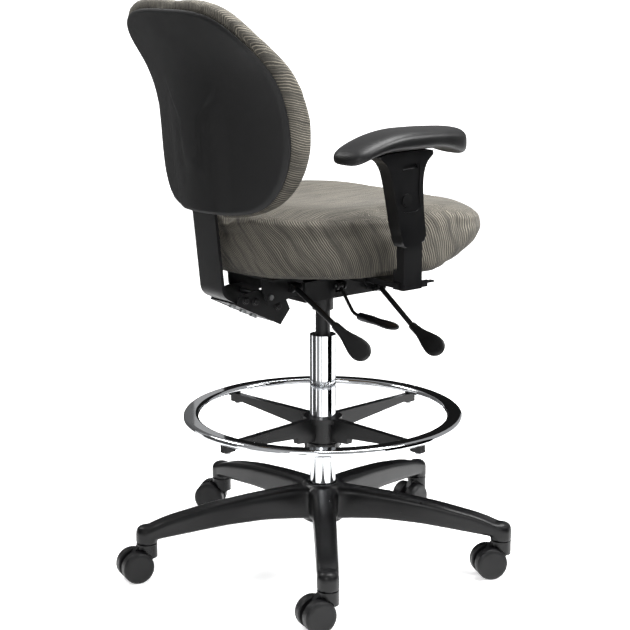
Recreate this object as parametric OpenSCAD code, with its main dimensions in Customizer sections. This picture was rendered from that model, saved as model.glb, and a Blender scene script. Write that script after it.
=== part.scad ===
// Drafting chair: five-leg base, gas lift, foot ring, tilting seat, adjustable back and arms.
// Millimetres. +Z is up, the origin is on the floor under the column, and the sitter faces -Y.

/* [Base] */
// Distance from the column axis to each caster stem
leg_reach = 351; // [290:1:400]
// Height of the underside of a leg at its caster stem
leg_end_z = 70; // [68:1:84]
// Height of the top of the base hub
hub_top_z = 154; // [145:1:170]
// Width of a leg where it leaves the hub
leg_root_w = 46; // [40:1:52]
// Width of a leg at its outer end
leg_tip_w = 40; // [34:1:46]
// Direction of the first leg, in degrees from the chair's left side
first_leg = 141.5; // [0:1:359]

/* [Casters] */
// Diameter of a caster wheel
wheel_d = 60; // [50:1:62]
// Width over the two wheels of a caster
caster_w = 54; // [44:1:60]
// Horizontal distance from the stem to the wheel axle
caster_trail = 24; // [16:1:30]
// Diameter of a caster stem
stem_d = 11; // [8:1:12]

/* [Column and lift] */
// Outer diameter of the chrome column
column_d = 50; // [42:1:60]
// Height of the top rim of the column
column_top_z = 443; // [420:1:450]
// Diameter of the gas spring's pressure tube
gas_tube_d = 28; // [24:1:30]

/* [Foot ring] */
// Outer diameter of the foot ring
ring_d = 534; // [420:1:640]
// Radial width of the ring's flat-oval section
ring_w = 29; // [20:1:36]
// Height of the ring's flat-oval section
ring_h = 13; // [10:1:18]
// Height of the middle of the ring's section
ring_z = 289; // [280:1:310]

/* [Mechanism] */
// Height of the tilting plate's underside
plate_z = 584; // [580:1:590]
// Y of the front pivot, on which the seat tilts
tilt_y = -80; // [-90:1:-70]
// Height of the front pivot
tilt_z = 545; // [543:1:550]
// Y of the rear pivot, on which the back leans
lean_y = 165; // [160:1:172]
// Height of the rear pivot
lean_z = 547; // [543:1:552]

/* [Seat] */
// Width of the seat cushion at its widest, near the front
seat_w = 464; // [380:1:480]
// Y of the cushion's rear edge
seat_rear_y = 228; // [210:1:236]
// Y of the cushion's front edge
seat_front_y = -260; // [-320:1:-230]
// Height of the cushion's top
seat_top_z = 708; // [690:1:712]

/* [Back] */
// Half width of the back shell at its widest
back_half_w = 189; // [150:1:215]
// Height of the lower edge of the back shell
back_low_z = 700; // [698:1:720]
// Height of the upper edge of the back shell
back_top_z = 1062; // [1000:1:1120]
// Width of the flat steel bar that carries the back
bar_w = 66; // [54:1:66]
// Thickness of that bar
bar_t = 6; // [5:1:7]
// Backward lean of the bar, in degrees
bar_lean = 6; // [4:1:8]

/* [Arms] */
// Distance from the middle of the chair to each arm post
arm_x = 262; // [260:1:300]
// Y of the arm posts
arm_y = 22; // [0:1:40]
// Length of an arm pad
pad_l = 270; // [220:1:290]
// Width of an arm pad
pad_w = 90; // [70:1:100]
// Height of the top of an arm pad
pad_top_z = 860; // [856:1:880]

/* [Hidden] */
$fn = 64;

// Fits
run = 0.06;      // radial clearance of a pin or shaft that turns or slides
gap = 0.3;       // clearance between flat faces that slide
cut = 1;         // how far a cutting shape passes the face that it cuts

// Colours
black_plastic = [0.09, 0.09, 0.10];
black_steel = [0.12, 0.12, 0.13];
chrome = [0.80, 0.81, 0.83];
steel = [0.55, 0.56, 0.58];
cloth = [0.43, 0.41, 0.37];
wood = [0.70, 0.55, 0.38];

// Base
hub_r = 40;
hub_low_z = 79;
legs = 5;
stem_hole_h = 25;
column_r = column_d / 2;
column_low_z = 70;
column_wall = 1.6;
column_floor = 6;
groove_z = [343, 349];     // the two fine grooves round the column
groove_h = 1.6;
groove_depth = 0.7;

// Lift
tube_r = gas_tube_d / 2;
tube_wall = 2;
tube_low_z = 170;
tube_top_z = 530;
bush_low_z = 350;
bush_lip = 3;
rod_r = 5;
rod_low_z = 64;
rod_top_z = 440;
piston_h = 12;
clip_z = 66.5;
clip_h = 2.5;
bearing_h = 8;
valve_r = 3;
valve_low_z = 508;
valve_top_z = 542;

// Foot ring
spokes = 4;
first_spoke = 5;
spoke_w = 14;
spoke_top_z = ring_z - ring_h / 2;
spider_top_z = spoke_top_z + 3;
spider_low_z = ring_z - 54;
spoke_end_r = ring_d / 2 - ring_w / 2;
collar_h = 11;
collar_r = column_r + 8;

// Mechanism
pan_x = 45;
pan_wall = 3;
pan_front_y = -100;
pan_rear_y = 80;
pan_low_z = 524;
pan_top_z = 562;
socket_low_z = 495;
socket_r = tube_r + 6;
pin_r = 5;
flange_x = 48;
flange_t = 3;
plate_t = 4;
plate_x = 90;
plate_front_y = -150;
plate_rear_y = 190;
rail_in_x = 75;
rail_out_x = 95;
rail_h = 6;
rail_half_l = 140;
slide_half_l = 110;
slide_top_t = 5.7;
board_z = plate_z + plate_t + rail_h + gap + slide_top_t;
board_t = 12;

// Levers: each turns on its own cross pin between two ears
ear_t = 3;
ear_gap = 7;
ear_r = 8;
cross_pin_r = 2.5;
lever_r = 5;
wire_r = 3.5;
height_pivot = [-50, 0, 548];
lean_pivot = [-60, 115, 560];
tilt_lever_pivot = [-60, -90, 536];

// Back bar and its bracket
bar_foot_slope = 26;
bar_corner = [256, 558];   // where the upright and the foot would meet, in Y and Z
bar_bend_r = 24;
bar_top_z = 892;
bar_foot_l = 112;
bracket_x = bar_w / 2 + 3;
bracket_t = 3;

// Back surface: Y of the middle line, and how far the sides wrap forward at 180 mm from it
back_middle = [[690, 277], [800, 289], [900, 300], [950, 309], [1000, 322], [1030, 332], [1080, 350]];
back_wrap = [[690, 57], [760, 53], [880, 58], [930, 51], [970, 38], [1010, 19], [1040, 9], [1090, 2]];
back_width = [[690, 0.88], [730, 0.91], [780, 0.965], [830, 1], [930, 0.985], [1080, 0.965]];
back_corner = 3.5;         // exponent of the outline: 2 is an ellipse, more is squarer
back_mid_z = (back_low_z + back_top_z) / 2;
back_half_h = (back_top_z - back_low_z) / 2;
shell_t = 3.5;
board_depth = 17;
back_board_t = 5;
around = 60;               // points around a back outline
boss_h = 6;
carriage_x = bar_w / 2 + 8;

// Seat
seat_half_w = seat_w / 2;
seat_rear_half_w = 0.875 * seat_half_w;
rear_corner_r = seat_rear_half_w - 38;
front_corner_r = seat_half_w / 2;
board_inset = 26;
board_front = 40;
seat_skirt = 8;            // how far the cushion hangs below the board's underside

// Arms
post_t = 18;
post_w = 44;
post_top_z = 785;
sleeve_t = 28;
sleeve_w = 50;             // at its lower end: it widens upwards, mostly to the rear
sleeve_low_z = 655;
pad_under_z = pad_top_z - 38;
pad_droop = 16;
pad_x = arm_x - 13;
foot_h = 10;
foot_w = 50;
foot_in_x = 126;
foot_z = board_z - 15;
guide_in_x = 115;
guide_out_x = seat_rear_half_w - board_inset;
guide_h = 22;
guide_w = 60;
elbow_low_z = foot_z - 8;
lug_x = 7;                 // half the space between the two lugs that hold the catch
lug_t = 3;
catch_y = arm_y - foot_w / 2 - 5;
button_r = 11;
button_z = 738;
button_y = arm_y + 20;
catch_pin_r = 1.5;

// Casters
wheel_r = wheel_d / 2;
caster_web = 12;
wheel_gap = 0.3;
wheel_w = caster_w / 2 - caster_web / 2 - wheel_gap;
axle_r = 4;
stem_r = stem_d / 2;
hood_r = 19.5;
wheel_cap = 3;             // thickness of the closed outer face of a wheel
headings = [76, 64, 100, 40, 76];   // trail direction of each caster, in degrees

function blend(table, z) = (lookup(z - 12, table) + 2 * lookup(z, table) + lookup(z + 12, table)) / 4;
function power(v, e) = sign(v) * pow(abs(v), e);
function bar_y(z) = bar_corner[0] + (z - bar_corner[1]) * tan(bar_lean);
function boss(x, z) = boss_h * exp(-pow(x / 46, 2)) / (1 + exp((z - 880) / 12));
function back_y(x, z) = blend(back_middle, z) + boss(x, z) - blend(back_wrap, z) * pow(x / 180, 2);
function back_half(z) = back_half_w * blend(back_width, z);
function flat_z(v, s) = back_mid_z + back_half_h * v * (s > 1 && v < 0 ? 1 + (s - 1) * 0.2 : s);
function back_ring(s, depth) = [for (i = [0:around - 1])
    let (t = 360 * i / around, u = power(cos(t), 2 / back_corner), v = power(sin(t), 2 / back_corner),
         z = flat_z(v, s), x = s * u * back_half(back_mid_z + back_half_h * v))
    [x, back_y(x, z) - depth, z]];
function back_pole(depth) = [0, back_y(0, back_mid_z) - depth, back_mid_z];

// A closed solid through rings of equal point count, from a pole to a pole
module lofted(rings, first, last) {
    n = len(rings[0]);
    points = concat([first], [for (r = rings) each r], [last]);
    end = len(points) - 1;
    base = end - n;
    walls = [for (k = [0:len(rings) - 2]) for (i = [0:n - 1])
        let (a = 1 + k * n + i, b = 1 + k * n + (i + 1) % n) each [[a, b, a + n], [b, b + n, a + n]]];
    caps = [for (i = [0:n - 1]) each [[0, 1 + (i + 1) % n, 1 + i], [end, base + i, base + (i + 1) % n]]];
    polyhedron(points = points, faces = concat(walls, caps), convexity = 6);
}

// A round rod between two points
module rod(p, q, r) {
    d = q - p;
    translate(p) rotate([0, acos(d[2] / norm(d)), atan2(d[1], d[0])]) cylinder(r = r, h = norm(d));
}

// A round bar along X, centred on the chair's middle plane
module cross_bar(y, z, r, half_l) {
    translate([-half_l, y, z]) rotate([0, 90, 0]) cylinder(r = r, h = 2 * half_l);
}

// A plate whose outline lies in Y and Z, from x0 to x1
module side_plate(outline, x0, x1) {
    translate([x0, 0, 0]) rotate([90, 0, 90]) linear_extrude(x1 - x0) polygon(outline);
}

module block(low, high) {
    translate(low) cube(high - low);
}

module tube(r_out, r_in, z0, z1) {
    difference() {
        translate([0, 0, z0]) cylinder(r = r_out, h = z1 - z0);
        translate([0, 0, z0 - cut]) cylinder(r = r_in, h = z1 - z0 + 2 * cut);
    }
}

module at_leg(i) {
    a = first_leg + i * 360 / legs;
    translate([leg_reach * cos(a), leg_reach * sin(a), 0]) rotate(headings[i]) children();
}

// ---- Base, column and lift ----

module leg() {
    boss_r = leg_tip_w / 2;
    side = [[20, hub_low_z + 4], [45, hub_low_z + 6], [120, leg_end_z + 22], [200, leg_end_z + 20],
            [leg_reach - 28, leg_end_z + 9], [leg_reach - boss_r + 2, leg_end_z + 6], [leg_reach, leg_end_z + 6],
            [leg_reach + 4, leg_end_z + 30], [leg_reach - 12, leg_end_z + 36], [leg_reach - 41, leg_end_z + 46],
            [226, hub_top_z - 22], [145, hub_top_z - 12], [73, hub_top_z - 6], [20, hub_top_z - 4]];
    plan = [[20, -leg_root_w / 2], [leg_reach, -boss_r + 0.5], [leg_reach + boss_r - 2, 0],
            [leg_reach, boss_r - 0.5], [20, leg_root_w / 2]];
    nose = [[0, 0], [boss_r, 0], [boss_r, 22], [boss_r - 2, 28], [boss_r - 7, 33], [boss_r - 14, 35], [0, 36]];
    intersection() {
        rotate([90, 0, 0]) linear_extrude(2 * leg_root_w, center = true) polygon(side);
        linear_extrude(2 * hub_top_z) polygon(plan);
    }
    translate([leg_reach, 0, leg_end_z]) rotate_extrude() polygon(nose);
}

module base_star() {
    color(black_plastic) difference() {
        union() {
            translate([0, 0, hub_low_z]) cylinder(r = hub_r, h = hub_top_z - hub_low_z);
            for (i = [0:legs - 1]) rotate(first_leg + i * 360 / legs) leg();
        }
        translate([0, 0, hub_low_z - cut]) cylinder(r = column_r + run, h = hub_top_z);
        for (i = [0:legs - 1]) at_leg(i) translate([0, 0, leg_end_z - cut])
            cylinder(r = stem_r + run, h = stem_hole_h + cut);
    }
}

module outer_column() {
    color(chrome) difference() {
        translate([0, 0, column_low_z]) cylinder(r = column_r, h = column_top_z - column_low_z);
        translate([0, 0, column_low_z + column_floor]) cylinder(r = column_r - column_wall, h = column_top_z);
        translate([0, 0, column_low_z - cut]) cylinder(r = rod_r + run, h = column_floor + 2 * cut);
        for (z = groove_z) tube(column_r + cut, column_r - groove_depth, z, z + groove_h);
    }
}

module column_bush() {
    color(black_plastic) difference() {
        union() {
            translate([0, 0, bush_low_z])
                cylinder(r = column_r - column_wall - run, h = column_top_z - bush_low_z);
            translate([0, 0, column_top_z]) cylinder(r = column_r, h = bush_lip);
        }
        translate([0, 0, bush_low_z - cut]) cylinder(r = tube_r + run, h = column_top_z);
    }
}

module thrust_bearing() {
    low = column_low_z + column_floor;
    color(steel) tube(rod_r + 11, rod_r + gap, low, low + bearing_h);
}

module piston_rod() {
    color(steel) difference() {
        union() {
            translate([0, 0, rod_low_z]) cylinder(r = rod_r, h = rod_top_z - rod_low_z);
            translate([0, 0, rod_top_z - piston_h]) cylinder(r = tube_r - tube_wall - run, h = piston_h);
        }
        tube(rod_r + cut, rod_r - 1, clip_z, clip_z + clip_h);
    }
}

module retaining_clip() {
    color(steel) difference() {
        tube(rod_r + 4, rod_r - 1, clip_z, clip_z + clip_h);
        block([-3, 0, clip_z - cut], [3, rod_r + 5, clip_z + clip_h + cut]);
    }
}

module gas_tube() {
    cavity_top = valve_low_z - 8;
    color(black_steel) difference() {
        translate([0, 0, tube_low_z]) cylinder(r = tube_r, h = tube_top_z - tube_low_z);
        translate([0, 0, tube_low_z + 10]) cylinder(r = tube_r - tube_wall, h = cavity_top - tube_low_z - 10);
        translate([0, 0, tube_low_z - cut]) cylinder(r = rod_r + run, h = 10 + 2 * cut);
        translate([0, 0, cavity_top - cut]) cylinder(r = valve_r + run, h = tube_top_z);
    }
}

module valve_pin() {
    color(steel) translate([0, 0, valve_low_z]) cylinder(r = valve_r, h = valve_top_z - valve_low_z);
}

// ---- Foot ring ----

module foot_ring() {
    mid = ring_d / 2 - ring_w / 2;
    flat = ring_w - ring_h;
    color(chrome) translate([0, 0, ring_z]) rotate_extrude($fn = 128) union() {
        translate([mid - flat / 2, -ring_h / 2]) square([flat, ring_h]);
        for (s = [-1, 1]) translate([mid + s * flat / 2, 0]) circle(r = ring_h / 2);
    }
}

module ring_spider() {
    side = [[column_r + 1, spider_low_z + 5], [72, spider_low_z + 9], [72, spider_low_z + 20],
            [spoke_end_r - 22, spoke_top_z - 13], [spoke_end_r - 20, spoke_top_z - 17],
            [spoke_end_r + 4, spoke_top_z - 17], [spoke_end_r + 4, spoke_top_z],
            [spoke_end_r - 40, spoke_top_z], [column_r + 1, spider_top_z]];
    color(black_plastic) difference() {
        union() {
            translate([0, 0, spider_low_z]) cylinder(r = column_r + 4, h = spider_top_z - spider_low_z);
            translate([0, 0, spider_top_z - 10]) cylinder(r = column_r + 12, h = 10);
            for (i = [0:spokes - 1]) rotate([90, 0, first_spoke + i * 360 / spokes])
                linear_extrude(spoke_w, center = true) polygon(side);
        }
        translate([0, 0, spider_low_z - cut]) cylinder(r = column_r + run, h = 2 * ring_z);
    }
}

module ring_screws() {
    color(steel) for (i = [0:spokes - 1]) rotate(first_spoke + i * 360 / spokes)
        translate([spoke_end_r - 8, 0, spoke_top_z - 20]) cylinder(r = 5, h = 3);
}

module ring_lock_collar() {
    top = spider_low_z - gap;
    color(black_plastic) difference() {
        union() {
            translate([0, 0, top - collar_h]) cylinder(r = collar_r, h = collar_h);
            for (a = [0:60:300]) rotate(a) translate([collar_r, 0, top - collar_h]) cylinder(r = 3, h = collar_h);
        }
        translate([0, 0, top - collar_h - cut]) cylinder(r = column_r + run, h = collar_h + 2 * cut);
    }
}

// ---- Mechanism ----

// Two ears with a cross hole, reaching from a wall at x = wall to the pivot
module ears(pivot, wall) {
    for (s = [-1, 1]) difference() {
        translate([0, pivot[1] + s * (ear_gap + ear_t / 2), 0]) union() {
            translate([pivot[0], ear_t / 2, pivot[2]]) rotate([90, 0, 0]) cylinder(r = ear_r, h = ear_t);
            block([pivot[0], -ear_t / 2, pivot[2] - ear_r], [wall, ear_t / 2, pivot[2] + ear_r]);
        }
        translate([pivot[0], pivot[1] + 20, pivot[2]]) rotate([90, 0, 0])
            cylinder(r = cross_pin_r + run, h = 40);
    }
}

module mech_base() {
    color(black_steel) difference() {
        union() {
            block([-pan_x, pan_front_y, pan_low_z], [pan_x, pan_rear_y, pan_top_z]);
            translate([0, 0, socket_low_z]) cylinder(r = socket_r, h = pan_low_z - socket_low_z + pan_wall);
            ears(height_pivot, -pan_x);
        }
        difference() {
            block([-pan_x + pan_wall, pan_front_y + pan_wall, pan_low_z + pan_wall],
                  [pan_x - pan_wall, pan_rear_y - pan_wall, pan_top_z + cut]);
            translate([0, 0, pan_low_z]) cylinder(r = socket_r, h = 8);
        }
        translate([0, 0, socket_low_z - cut]) cylinder(r = tube_r + 0.02, h = 60);
        cross_bar(tilt_y, tilt_z, pin_r + run, pan_x + 20);
        block([-pan_x - cut, -ear_gap, pan_low_z + 10], [-pan_x + pan_wall + cut, ear_gap, pan_top_z + cut]);
    }
}

module tilt_pivot_pin() {
    color(steel) cross_bar(tilt_y, tilt_z, pin_r, flange_x + flange_t + 3);
}

module back_pivot_pin() {
    color(steel) cross_bar(lean_y, lean_z, pin_r, flange_x + flange_t + 3);
}

module top_plate() {
    color(black_steel) {
        block([-plate_x, plate_front_y, plate_z], [plate_x, plate_rear_y, plate_z + plate_t]);
        for (x = [-rail_out_x, rail_in_x])
            block([x, -rail_half_l, plate_z + plate_t - 0.5],
                  [x + rail_out_x - rail_in_x, rail_half_l, plate_z + plate_t + rail_h]);
    }
}

// The two flanges under the plate, which hold both pivots and the lever ears
module plate_flanges() {
    low = plate_z - 0.02;
    flange = [[plate_front_y + 30, low], [-112, tilt_z - 18], [-98, tilt_z - 21], [-70, tilt_z - 14],
              [-45, plate_z - 12], [88, plate_z - 12], [104, lean_z - 4], [lean_y - 6, lean_z - 14],
              [lean_y + 8, lean_z - 12], [plate_rear_y - 6, lean_z + 14], [plate_rear_y - 4, low]];
    color(black_steel) difference() {
        union() {
            side_plate(flange, flange_x, flange_x + flange_t);
            side_plate(flange, -flange_x - flange_t, -flange_x);
            ears(lean_pivot, -flange_x - flange_t / 2);
            ears(tilt_lever_pivot, -flange_x - flange_t / 2);
        }
        cross_bar(tilt_y, tilt_z, pin_r + 0.02, flange_x + 20);
        cross_bar(lean_y, lean_z, pin_r + 0.02, flange_x + 20);
    }
}

// The turning end of a lever, with its cross pin
module lever_knuckle(pivot, r) {
    translate(pivot) rotate([90, 0, 0]) {
        cylinder(r = r, h = 2 * (ear_gap - gap), center = true);
        cylinder(r = cross_pin_r, h = 2 * (ear_gap + ear_t + 1), center = true);
    }
}

// A rod through a list of points, rounded at each bend and drawn down a little at each one
// Turns its children so that their X axis runs from p towards q, starting at p
module along(p, q) {
    d = q - p;
    translate(p) rotate([0, acos(d[2] / norm(d)) - 90, atan2(d[1], d[0])]) children();
}

// A spoon-shaped grip from p to q, with a collar in line with the rod that comes from the point rod_from
module grip(rod_from, p, q, r_rod, tip_r, root_r, thick, turn) {
    l = norm(q - p);
    difference() {
        union() {
            along(p, q) rotate([turn, 0, 0]) {
                translate([l - tip_r, 0, -thick / 2]) cylinder(r = tip_r, h = thick);
                translate([0, 0, -thick / 2]) linear_extrude(thick)
                    polygon([[5, -root_r], [l - tip_r, -tip_r], [l - tip_r, tip_r], [5, root_r]]);
            }
            along(p, 2 * p - rod_from) rotate([0, 90, 0]) cylinder(r = r_rod + 3, h = 24);
        }
        along(towards(p, rod_from, cut), 2 * p - rod_from) rotate([0, 90, 0])
            cylinder(r = r_rod + run, h = 20 + cut);
    }
}

// The point at distance d from p on the way to q
function towards(p, q, d) = p + d * (q - p) / norm(q - p);

rod_in_grip = 19.5;
lean_grip_start = [-171, 115, 509];
lean_grip_end = [-259, 115, 466];
tilt_grip_start = [-151, -90, 476];
tilt_grip_end = [-232, -90, 438];
height_grip_start = [-106, 0, 500];
height_grip_end = [-211, 0, 494];
height_arm_end = [6, 0, 546.5];

module straight_lever(pivot, grip_start, r_knuckle, r_rod) {
    lever_knuckle(pivot, r_knuckle);
    rod(pivot, towards(grip_start, pivot, -rod_in_grip), r_rod);
}

module lean_lever() {
    color(black_steel) straight_lever(lean_pivot, lean_grip_start, 6.5, lever_r);
}

module lean_paddle() {
    color(black_plastic) grip(lean_pivot, lean_grip_start, lean_grip_end, lever_r, 20, 9, 9, 42);
}

module tilt_lever() {
    color(black_steel) straight_lever(tilt_lever_pivot, tilt_grip_start, 6.5, lever_r);
}

module tilt_paddle() {
    color(black_plastic) grip(tilt_lever_pivot, tilt_grip_start, tilt_grip_end, lever_r, 20, 9, 9, 42);
}

module height_lever() {
    color(black_steel) {
        straight_lever(height_pivot, height_grip_start, 5.5, wire_r);
        rod(height_pivot, height_arm_end, wire_r);
    }
}

module height_paddle() {
    color(black_plastic) grip(height_pivot, height_grip_start, height_grip_end, wire_r, 12, 9, 8, 75);
}

// ---- Back bar and bracket ----

// The bar's side outline: an upright, a bend and a sloping foot, half a thickness either side
foot_dir = [-cos(bar_foot_slope), -sin(bar_foot_slope)];
up_dir = [sin(bar_lean), cos(bar_lean)];
bar_turn = 90 + bar_foot_slope + bar_lean;
tangent_l = bar_bend_r / tan(bar_turn / 2);
bend_centre = bar_corner + tangent_l * foot_dir + bar_bend_r * [-sin(bar_foot_slope), cos(bar_foot_slope)];

function bend_point(a, r) = bend_centre + r * [cos(a), sin(a)];
function bar_side(r, s) = concat(
    [bar_corner + bar_foot_l * foot_dir + s * bar_t / 2 * [sin(bar_foot_slope), -cos(bar_foot_slope)]],
    [for (k = [0:8]) bend_point(-90 + bar_foot_slope + k * (180 - bar_turn) / 8, r)],
    [bar_corner + (bar_top_z - bar_corner[1]) / cos(bar_lean) * up_dir
        + s * bar_t / 2 * [cos(bar_lean), -sin(bar_lean)]]);

module back_bar() {
    outer = bar_side(bar_bend_r + bar_t / 2, 1);
    inner = bar_side(bar_bend_r - bar_t / 2, -1);
    inner_back = [for (i = [len(inner) - 1:-1:0]) inner[i]];
    color(black_steel) side_plate(concat(outer, inner_back), -bar_w / 2, bar_w / 2);
}

// A point on the bar's foot, at a distance along it and a height off its underside
function foot_point(along, off) = bar_corner + along * foot_dir
    - (bar_t / 2 - off) * [-sin(bar_foot_slope), cos(bar_foot_slope)];

module back_bracket() {
    ear = [foot_point(28, -bracket_t - 1), foot_point(28, 12), [lean_y + 30, lean_z + 14], [lean_y - 2, lean_z + 14],
           [lean_y - 42, lean_z - 4], [lean_y - 54, lean_z - 30], foot_point(bar_foot_l + 28, -bracket_t - 1)];
    floor = [foot_point(30, -bracket_t), foot_point(30, 0), foot_point(bar_foot_l + 20, 0),
             foot_point(bar_foot_l + 20, -bracket_t)];
    color(black_steel) difference() {
        union() {
            side_plate(ear, -bracket_x - bracket_t, -bracket_x);
            side_plate(ear, bracket_x, bracket_x + bracket_t);
            side_plate(floor, -bracket_x - bracket_t / 2, bracket_x + bracket_t / 2);
        }
        cross_bar(lean_y, lean_z, pin_r + run, bracket_x + 20);
    }
}

module bar_bolts() {
    color(steel) for (along = [52, 78, 104]) {
        p = foot_point(along, -bracket_t);
        translate([0, p[0], p[1]]) rotate([180 + bar_foot_slope, 0, 0]) cylinder(r = 7, h = 5);
    }
}

// ---- Backrest ----

// The passage for the bar, along its lean: half width, and reach in front of and behind its middle
module bar_passage(half_w, front, behind, z0, z1) {
    translate([0, bar_y(z0), z0]) rotate([-bar_lean, 0, 0])
        block([-half_w, -front, 0], [half_w, behind, (z1 - z0) / cos(bar_lean)]);
}

module back_carriage() {
    color(black_plastic) difference() {
        bar_passage(carriage_x, 8, 7, 765, 860);
        bar_passage(bar_w / 2 + gap, bar_t / 2 + gap, bar_t / 2 + gap, 755, 870);
    }
}

foam_gap = 1.2;             // between the board and the foam moulded over it

module back_board() {
    rear = [for (s = [0.3, 0.6, 0.85]) back_ring(s, board_depth)];
    front = [for (s = [0.85, 0.6, 0.3]) back_ring(s, board_depth + back_board_t)];
    color(wood) difference() {
        lofted(concat(rear, front), back_pole(board_depth), back_pole(board_depth + back_board_t));
        bar_passage(carriage_x + cut, 8 + gap, 12, 680, 920);
    }
}

module back_shell() {
    rear = [for (s = [0.25, 0.5, 0.75, 0.92, 1]) back_ring(s, 0)];
    front = [for (s = [1, 0.92, 0.75, 0.5, 0.25]) back_ring(s, shell_t)];
    color(black_plastic) difference() {
        lofted(concat(rear, front), back_pole(0), back_pole(shell_t));
        bar_passage(carriage_x + cut, 8 + gap, 7 + gap, 680, 870);
        bar_passage(bar_w / 2 + 2, 8 + gap, bar_t / 2 + gap, 680, 905);
    }
}

module back_cushion() {
    deep = board_depth + back_board_t + foam_gap;
    back = [for (k = [[0.3, deep], [0.6, deep], [0.85, deep], [0.9, deep], [0.94, 12], [0.98, shell_t + gap]])
        back_ring(k[0], k[1])];
    rim = [for (k = [[1.02, 6], [1.055, 13], [1.065, 24], [1.05, 36], [1, 47], [0.92, 54]]) back_ring(k[0], k[1])];
    face = [for (k = [[0.78, 59], [0.55, 62], [0.28, 63]]) back_ring(k[0], k[1])];
    color(cloth) difference() {
        lofted(concat(back, rim, face), back_pole(deep), back_pole(63));
        bar_passage(carriage_x + 4, 12, 20, 680, 960);
    }
}

// ---- Seat ----

// A slab of the seat's outline, inset by d: nearly round behind, wide in front
module seat_slab(z, h, d, front) {
    hull() for (s = [-1, 1]) {
        translate([s * (seat_rear_half_w - rear_corner_r), seat_rear_y - rear_corner_r, z])
            cylinder(r = rear_corner_r - d, h = h, $fn = 48);
        translate([s * (seat_half_w - front_corner_r), front + front_corner_r, z])
            cylinder(r = front_corner_r - d, h = h, $fn = 48);
    }
}

module seat_cushion() {
    top = seat_top_z;
    low = board_z - seat_skirt;
    // Height, inset, and how far the front edge stands back
    levels = [[low, 10, 92], [low + 10, 3, 62], [low + 34, 0, 20], [low + 60, 0, 0], [top - 26, 8, 0],
              [top - 13, 22, 0], [top - 4, 50, 0], [top - 0.2, 84, 0]];
    color(cloth) difference() {
        hull() for (k = levels) seat_slab(k[0], 0.2, k[1], seat_front_y + k[2]);
        seat_slab(low - cut, seat_skirt + board_t + cut + gap, board_inset - gap, seat_front_y + board_front);
    }
}

module seat_board() {
    color(wood) seat_slab(board_z, board_t, board_inset, seat_front_y + board_front);
}

module seat_slides() {
    low = plate_z + plate_t + gap;
    color(steel) for (s = [-1, 1]) scale([s, 1, 1]) difference() {
        block([rail_in_x - 5, -slide_half_l, low], [rail_out_x + 5, slide_half_l, board_z]);
        block([rail_in_x - gap, -slide_half_l - cut, low - cut],
              [rail_out_x + gap, slide_half_l + cut, plate_z + plate_t + rail_h + gap]);
    }
}

module arm_guides() {
    color(black_steel) for (s = [-1, 1]) scale([s, 1, 1]) difference() {
        block([guide_in_x, arm_y - guide_w / 2, board_z - guide_h], [guide_out_x, arm_y + guide_w / 2, board_z]);
        block([guide_in_x - cut, arm_y - foot_w / 2 - gap, foot_z - foot_h / 2 - gap],
              [guide_out_x + cut, arm_y + foot_w / 2 + gap, foot_z + foot_h / 2 + gap]);
    }
}

module seat_screws() {
    color(steel) for (s = [-1, 1]) for (x = [guide_in_x + 12, guide_out_x - 12])
        translate([s * x, arm_y, board_z - guide_h - 3]) cylinder(r = 6, h = 3);
}

// ---- Arms, drawn on the +X side ----

module arm_bracket() {
    front = arm_y - post_w / 2;
    color(black_steel) difference() {
        union() {
            block([foot_in_x, arm_y - foot_w / 2, foot_z - foot_h / 2], [arm_x, arm_y + foot_w / 2, foot_z + foot_h / 2]);
            block([arm_x - 18, front, elbow_low_z], [arm_x + post_t / 2, front + post_w, board_z + 12]);
            block([arm_x - post_t / 2, front, elbow_low_z], [arm_x + post_t / 2, front + post_w, post_top_z]);
            for (x = [-lug_x - lug_t, lug_x])
                block([arm_x + x, catch_y - 5, foot_z - 6], [arm_x + x + lug_t, front + cut, foot_z + 6]);
        }
        translate([arm_x, catch_y, foot_z]) rotate([0, 90, 0])
            cylinder(r = catch_pin_r + run, h = 40, center = true);
    }
}

module arm_catch() {
    color(black_steel) translate([arm_x, catch_y, foot_z]) {
        rotate([0, 90, 0]) cylinder(r = 4, h = 2 * (lug_x - gap), center = true);
        rotate([0, 90, 0]) cylinder(r = catch_pin_r, h = 2 * (lug_x + lug_t), center = true);
        block([-5, -26, -1.5], [5, 0, 1.5]);
    }
}

module arm_sleeve() {
    rear = arm_y + sleeve_w / 2;
    front = arm_y - sleeve_w / 2;
    top = pad_under_z;
    side = [[front, sleeve_low_z + 8], [rear, sleeve_low_z], [rear + 9, sleeve_low_z + 40], [rear + 22, top - 62],
            [rear + 28, top - 40], [rear + 38, top - 22], [rear + 56, top - 12], [rear + 56, top - 7],
            [rear + 20, top], [front + 8, top], [front - 16, top - 4], [front - 18, top - 9],
            [front, top - 24], [front + 7, top - 44], [front + 6, top - 80]];
    color(black_plastic) difference() {
        side_plate(side, arm_x - sleeve_t / 2, arm_x + sleeve_t / 2);
        block([arm_x - post_t / 2 - gap, arm_y - post_w / 2 - gap, sleeve_low_z - cut],
              [arm_x + post_t / 2 + gap, arm_y + post_w / 2 + gap, top - 12]);
        block([arm_x + sleeve_t / 2 - 1, front + 13, button_z - 14], [arm_x + sleeve_t, rear + 15, top - 24]);
        translate([arm_x + post_t / 2, button_y, button_z]) rotate([0, 90, 0])
            cylinder(r = button_r + run, h = sleeve_t);
    }
}

module arm_button() {
    color(black_plastic) translate([arm_x + post_t / 2 + 2, button_y, button_z]) rotate([0, 90, 0])
        cylinder(r = button_r, h = 4.5);
}

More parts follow.
